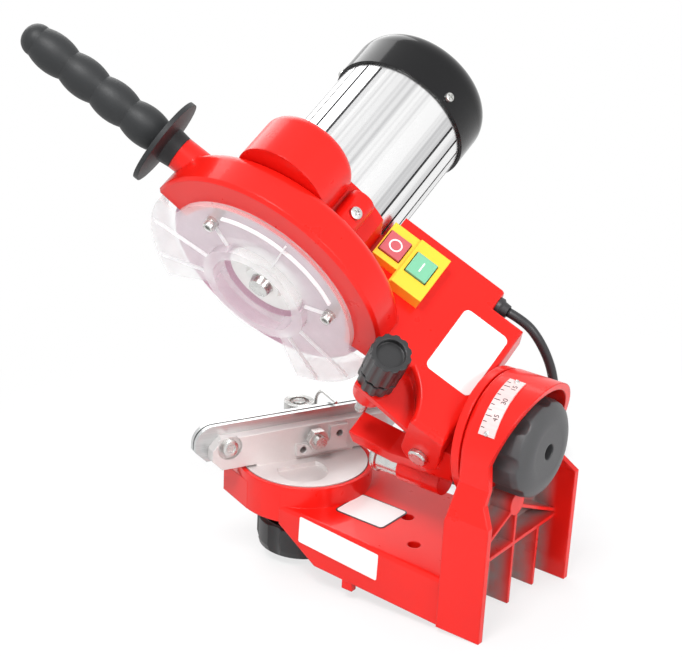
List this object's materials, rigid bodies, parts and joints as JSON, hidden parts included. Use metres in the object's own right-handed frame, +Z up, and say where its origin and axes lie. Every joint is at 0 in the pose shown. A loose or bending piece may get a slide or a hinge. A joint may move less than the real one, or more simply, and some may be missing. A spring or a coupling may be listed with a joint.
{
  "type": "saw chain grinder",
  "caption": "Bench saw-chain grinder: hollow cast base, turning chain vise with two rails, and a tilting, swinging motor head with a thin grinding wheel under a cast and a clear guard.",
  "frame": {"origin": "midway between the two rear bench-bolt holes, on the bench face of the base", "axes": "+Z up, +Y from the vise to the upright at the rear, +X to the wheel's side"},
  "size_m": [0.3852, 0.3315, 0.3619],
  "materials": {
    "red_paint": "glossy powder coat",
    "bare_alloy": "machined casting",
    "rail_steel": "ground plate",
    "zinc_steel": "zinc plated",
    "black_plastic": "moulded, fine grain",
    "grey_plastic": "moulded, fine grain",
    "cap_plastic": "moulded",
    "clear_plastic": "clear polycarbonate",
    "yellow_plastic": "moulded",
    "red_button": "moulded",
    "green_button": "moulded",
    "abrasive": "vitrified grit",
    "white_flange": "moulded",
    "core_steel": "laminated",
    "bearing_steel": "ground",
    "cord_rubber": "smooth sheath",
    "scale_metal": "printed strip"
  },
  "bodies": {
    "base": {"base_casting": "red_paint", "scale_plate": "scale_metal", "cord_lead": "cord_rubber", "cord_coil": "cord_rubber", "coil_tie": "cord_rubber", "plug": "cord_rubber"},
    "turret": {"vise_turret": "bare_alloy", "fixed_rail": "rail_steel", "clamp_stud": "zinc_steel", "clamp_nut": "zinc_steel", "rail_bolt": "zinc_steel", "chain_stop_bracket": "bare_alloy", "turret_stud": "zinc_steel", "turret_washer": "zinc_steel"},
    "turret_knob": {"turret_lock_knob": "black_plastic"},
    "rail": {"moving_rail": "rail_steel"},
    "lever": {"clamp_lever": "black_plastic"},
    "stop_knob": {"chain_stop_knob": "zinc_steel"},
    "pawl": {"chain_stop_pawl": "zinc_steel"},
    "bracket": {"tilt_bracket": "red_paint", "hinge_pin": "zinc_steel", "hinge_nut": "zinc_steel", "tilt_bolt": "zinc_steel", "tilt_washer": "zinc_steel", "stop_sleeve": "zinc_steel"},
    "tilt_knob": {"tilt_lock_knob": "grey_plastic"},
    "head": {"head_casting": "red_paint", "motor_housing": "bare_alloy", "motor_shield": "core_steel", "motor_cap": "cap_plastic", "stator": "core_steel", "capacitor": "grey_plastic", "capacitor_cover": "red_paint", "front_bearing": "bearing_steel", "rear_bearing": "bearing_steel", "clear_guard": "clear_plastic", "guard_posts": "zinc_steel", "handle_grip": "black_plastic", "handle_stud": "zinc_steel", "switch_housing": "yellow_plastic", "strain_relief": "cord_rubber"},
    "stop": {"stop_button": "red_button"},
    "start": {"start_button": "green_button"},
    "depth": {"depth_screw": "zinc_steel", "depth_knob": "black_plastic"},
    "depth_ring": {"depth_lock_ring": "black_plastic"},
    "wheel": {"spindle": "bearing_steel", "rotor": "core_steel", "grinding_wheel": "abrasive", "inner_flange": "bearing_steel", "outer_flange": "white_flange", "spindle_screw": "zinc_steel"}
  },
  "joints": [
    {"name": "vise_turn", "type": "hinge", "parent": "base", "child": "turret", "pos_m": [0, -0.11, 0.045], "axis": [0, 0, 1], "range_deg": [-9, 61]},
    {"name": "turret_knob_turn", "type": "hinge", "parent": "turret", "child": "turret_knob", "pos_m": [0, -0.11, -0.005], "axis": [0, 0, 1], "continuous": true},
    {"name": "clamp_lever_turn", "type": "hinge", "parent": "turret", "child": "lever", "pos_m": [-0.01468, -0.12732, 0.062], "axis": [-0.4384, -0.8988, 0], "range_deg": [-12.3, 28.3]},
    {"name": "rail_slide", "type": "slide", "parent": "turret", "child": "rail", "axis": [0.4384, 0.8988, 0], "range_m": [-0.00047, 0.0011]},
    {"name": "stop_knob_turn", "type": "hinge", "parent": "turret", "child": "stop_knob", "pos_m": [-0.02878, -0.13935, 0.065], "axis": [0, 0, 1], "continuous": true},
    {"name": "pawl_swing", "type": "hinge", "parent": "turret", "child": "pawl", "pos_m": [-0.04047, -0.13365, 0.054], "axis": [0.8988, -0.4384, 0], "range_deg": [0, 15], "stiffness_Nm_per_rad": 0.05, "springref_deg": -11.46},
    {"name": "head_tilt", "type": "hinge", "parent": "base", "child": "bracket", "pos_m": [0, 0.034, 0.112], "axis": [0, 1, 0], "range_deg": [-30, 10]},
    {"name": "tilt_knob_turn", "type": "hinge", "parent": "bracket", "child": "tilt_knob", "pos_m": [0, 0.062, 0.112], "axis": [0, 1, 0], "continuous": true},
    {"name": "head_swing", "type": "hinge", "parent": "bracket", "child": "head", "pos_m": [0.003, 0.004, 0.1172], "axis": [0.866, 0, -0.5], "range_deg": [0, 22.5], "stiffness_Nm_per_rad": 14, "springref_deg": -68.75, "deforming": ["cord_lead"]},
    {"name": "wheel_spin", "type": "hinge", "parent": "head", "child": "wheel", "pos_m": [0.04601, -0.10801, 0.19168], "axis": [0.866, 0, -0.5], "continuous": true},
    {"name": "stop_press", "type": "slide", "parent": "head", "child": "stop", "axis": [-0.4045, -0.5877, -0.7007], "range_m": [0, 0.003], "stiffness_N_per_m": 400, "springref_m": -0.002},
    {"name": "start_press", "type": "slide", "parent": "head", "child": "start", "axis": [-0.4045, -0.5877, -0.7007], "range_m": [0, 0.003], "stiffness_N_per_m": 400, "springref_m": -0.002},
    {"name": "depth_turn", "type": "hinge", "parent": "head", "child": "depth", "pos_m": [0.05515, -0.01028, 0.16353], "axis": [0.4217, 0.5373, 0.7304], "range_deg": [-180, 180]},
    {"name": "depth_ring_turn", "type": "hinge", "parent": "head", "child": "depth_ring", "pos_m": [0.04672, -0.02103, 0.14892], "axis": [0.4217, 0.5373, 0.7304], "range_deg": [-180, 180]}
  ],
  "couplings": [
    {"joint": "clamp_lever_turn", "follows": "rail_slide", "rad_per_m": 444.27}
  ]
}
